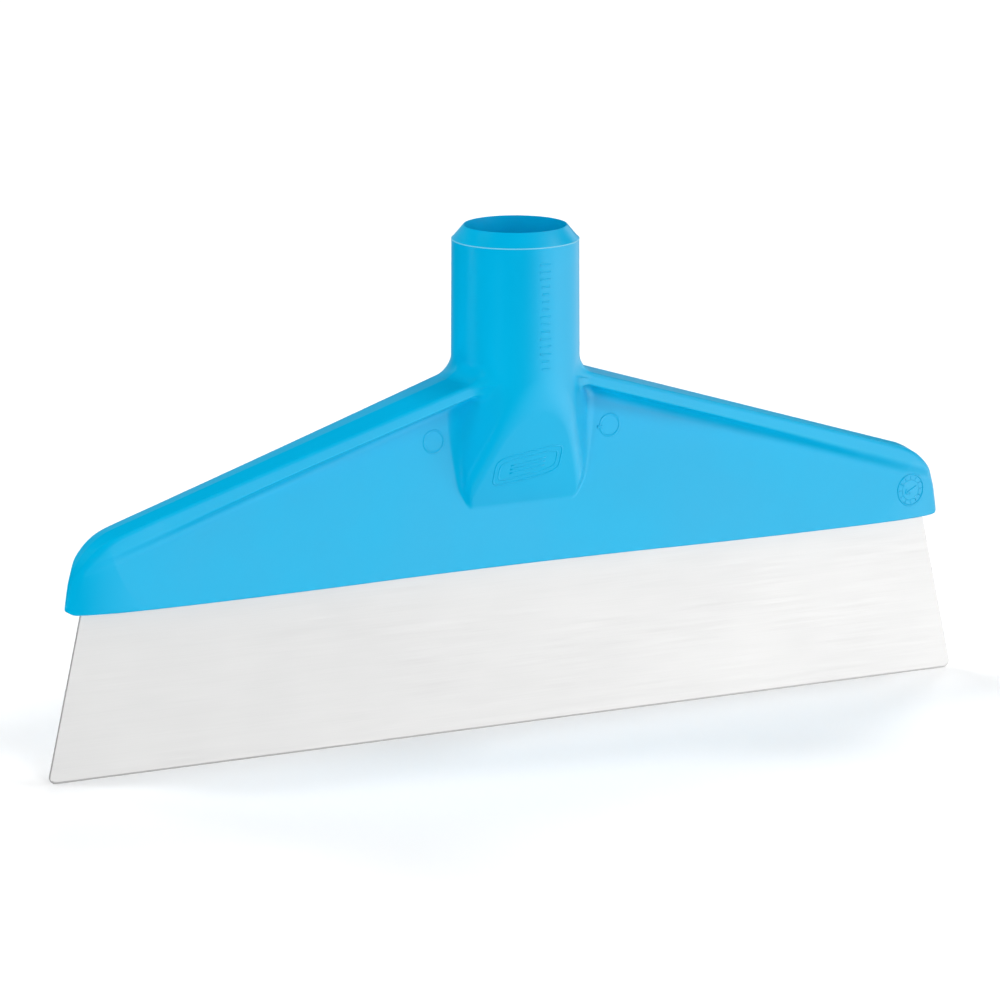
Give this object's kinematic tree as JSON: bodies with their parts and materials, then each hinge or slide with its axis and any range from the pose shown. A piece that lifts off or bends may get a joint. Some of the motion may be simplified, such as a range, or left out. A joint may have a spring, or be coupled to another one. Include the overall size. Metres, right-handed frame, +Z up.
{
  "type": "floor scraper head",
  "caption": "Wide floor scraper head: a thin trapezoid steel blade moulded into a ribbed plastic holder with an upright round handle socket.",
  "frame": {"origin": "middle of the cutting edge, on the middle plane of the blade", "axes": "+X along the cutting edge, +Y to the back face, +Z up the axis of the handle socket"},
  "size_m": [0.269, 0.034, 0.134],
  "materials": {
    "blue_plastic": "satin moulded polypropylene",
    "stainless_steel": "cold rolled, matt"
  },
  "bodies": {
    "root": {"head_moulding": "blue_plastic", "blade": "stainless_steel"}
  },
  "joints": []
}
